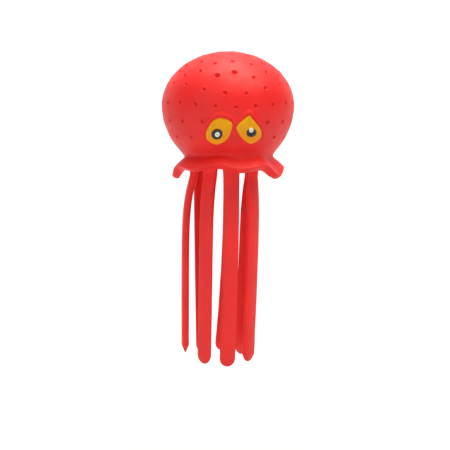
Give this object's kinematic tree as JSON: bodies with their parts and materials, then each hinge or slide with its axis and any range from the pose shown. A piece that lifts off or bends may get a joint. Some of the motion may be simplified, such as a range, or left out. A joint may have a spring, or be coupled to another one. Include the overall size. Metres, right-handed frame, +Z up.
{
  "type": "octopus squeeze toy",
  "caption": "Soft rubber octopus squeeze toy: pitted egg-shaped head with painted eyes, wavy skirt and flat hanging arms in a ring.",
  "frame": {"origin": "the crown of the head, where a hand or a cord holds the toy up", "axes": "+Z up through the crown, -Y the way the face looks, +X on the right of someone facing the toy; the toy hangs down -Z"},
  "size_m": [0.068, 0.068, 0.16],
  "materials": {
    "rubber_red": "satin",
    "arm_red": "satin",
    "eye_yellow": "satin",
    "pupil_black": "satin",
    "glint_white": "satin",
    "fibre_white": "matte"
  },
  "bodies": {
    "head": {"head_dome": "rubber_red", "head_filling": "fibre_white", "eye_left": "eye_yellow", "eye_right": "eye_yellow", "pupil_left": "pupil_black", "pupil_right": "pupil_black", "glint_left": "glint_white", "glint_right": "glint_white"},
    "base": {"skirt": "rubber_red", "mantle_floor": "rubber_red", "filling_bung": "rubber_red"},
    "front_upper": {"arm_front_upper": "arm_red"},
    "front_lower": {"arm_front_lower": "arm_red"},
    "front_right_upper": {"arm_front_right_upper": "arm_red"},
    "front_right_lower": {"arm_front_right_lower": "arm_red"},
    "right_upper": {"arm_right_upper": "arm_red"},
    "right_lower": {"arm_right_lower": "arm_red"},
    "rear_right_upper": {"arm_rear_right_upper": "arm_red"},
    "rear_right_lower": {"arm_rear_right_lower": "arm_red"},
    "rear_upper": {"arm_rear_upper": "arm_red"},
    "rear_lower": {"arm_rear_lower": "arm_red"},
    "rear_left_upper": {"arm_rear_left_upper": "arm_red"},
    "rear_left_lower": {"arm_rear_left_lower": "arm_red"},
    "left_upper": {"arm_left_upper": "arm_red"},
    "left_lower": {"arm_left_lower": "arm_red"},
    "front_left_upper": {"arm_front_left_upper": "arm_red"},
    "front_left_lower": {"arm_front_left_lower": "arm_red"}
  },
  "joints": [
    {"name": "head_squeeze", "type": "slide", "parent": "head", "child": "base", "axis": [0, 0, 1], "range_m": [0, 0.005], "stiffness_N_per_m": 300, "deforming": ["head_dome", "head_filling"]},
    {"name": "front_root_bend", "type": "hinge", "parent": "base", "child": "front_upper", "pos_m": [0, -0.016, -0.06305], "axis": [-1, 0, 0], "range_deg": [-1, 55], "stiffness_Nm_per_rad": 0.001},
    {"name": "front_middle_bend", "type": "hinge", "parent": "front_upper", "child": "front_lower", "pos_m": [-0.00047, -0.016, -0.108], "axis": [-1, 0, 0], "range_deg": [-1, 60], "stiffness_Nm_per_rad": 0.0008},
    {"name": "front_right_root_bend", "type": "hinge", "parent": "base", "child": "front_right_upper", "pos_m": [0.01089, -0.01089, -0.06305], "axis": [-0.7071, -0.7071, 0], "range_deg": [-1, 55], "stiffness_Nm_per_rad": 0.001, "springref_deg": -0.12},
    {"name": "front_right_middle_bend", "type": "hinge", "parent": "front_right_upper", "child": "front_right_lower", "pos_m": [0.01069, -0.01116, -0.108], "axis": [-0.7071, -0.7071, 0], "range_deg": [-1, 60], "stiffness_Nm_per_rad": 0.0008, "springref_deg": -0.45},
    {"name": "right_root_bend", "type": "hinge", "parent": "base", "child": "right_upper", "pos_m": [0.01287, -0.0009, -0.06305], "axis": [-0.0698, -0.9976, 0], "range_deg": [-1, 55], "stiffness_Nm_per_rad": 0.001, "springref_deg": -0.56},
    {"name": "right_middle_bend", "type": "hinge", "parent": "right_upper", "child": "right_lower", "pos_m": [0.01251, -0.00087, -0.108], "axis": [-0.0698, -0.9976, 0], "range_deg": [-1, 60], "stiffness_Nm_per_rad": 0.0008, "springref_deg": -0.46},
    {"name": "rear_right_root_bend", "type": "hinge", "parent": "base", "child": "rear_right_upper", "pos_m": [0.01368, 0.01108, -0.06305], "axis": [0.6293, -0.7771, 0], "range_deg": [-1, 55], "stiffness_Nm_per_rad": 0.001, "springref_deg": -5.09},
    {"name": "rear_right_middle_bend", "type": "hinge", "parent": "rear_right_upper", "child": "rear_right_lower", "pos_m": [0.01008, 0.00925, -0.108], "axis": [0.6293, -0.7771, 0], "range_deg": [-1, 60], "stiffness_Nm_per_rad": 0.0008, "springref_deg": -0.29},
    {"name": "rear_root_bend", "type": "hinge", "parent": "base", "child": "rear_upper", "pos_m": [0.00333, 0.01565, -0.06305], "axis": [0.9781, -0.2079, 0], "range_deg": [-1, 55], "stiffness_Nm_per_rad": 0.001},
    {"name": "rear_middle_bend", "type": "hinge", "parent": "rear_upper", "child": "rear_lower", "pos_m": [0.00224, 0.01588, -0.108], "axis": [0.9781, -0.2079, 0], "range_deg": [-1, 60], "stiffness_Nm_per_rad": 0.0008},
    {"name": "rear_left_root_bend", "type": "hinge", "parent": "base", "child": "rear_left_upper", "pos_m": [-0.01393, 0.00975, -0.06305], "axis": [0.5736, 0.8192, 0], "range_deg": [-1, 45], "stiffness_Nm_per_rad": 0.001, "springref_deg": -0.58},
    {"name": "rear_left_middle_bend", "type": "hinge", "parent": "rear_left_upper", "child": "rear_left_lower", "pos_m": [-0.01362, 0.00954, -0.108], "axis": [0.5736, 0.8192, 0], "range_deg": [-1, 60], "stiffness_Nm_per_rad": 0.0008, "springref_deg": -0.3},
    {"name": "left_root_bend", "type": "hinge", "parent": "base", "child": "left_upper", "pos_m": [-0.0176, 0, -0.06305], "axis": [0, 1, 0], "range_deg": [-1, 35], "stiffness_Nm_per_rad": 0.001, "springref_deg": 5.5},
    {"name": "left_middle_bend", "type": "hinge", "parent": "left_upper", "child": "left_lower", "pos_m": [-0.02211, 0, -0.108], "axis": [0, 1, 0], "range_deg": [-1, 60], "stiffness_Nm_per_rad": 0.0008, "springref_deg": 0.09},
    {"name": "front_left_root_bend", "type": "hinge", "parent": "base", "child": "front_left_upper", "pos_m": [-0.01018, -0.01018, -0.06305], "axis": [-0.7071, 0.7071, 0], "range_deg": [-1, 55], "stiffness_Nm_per_rad": 0.001, "springref_deg": 4.36},
    {"name": "front_left_middle_bend", "type": "hinge", "parent": "front_left_upper", "child": "front_left_lower", "pos_m": [-0.01267, -0.01242, -0.108], "axis": [-0.7071, 0.7071, 0], "range_deg": [-1, 60], "stiffness_Nm_per_rad": 0.0008, "springref_deg": 0.25}
  ]
}
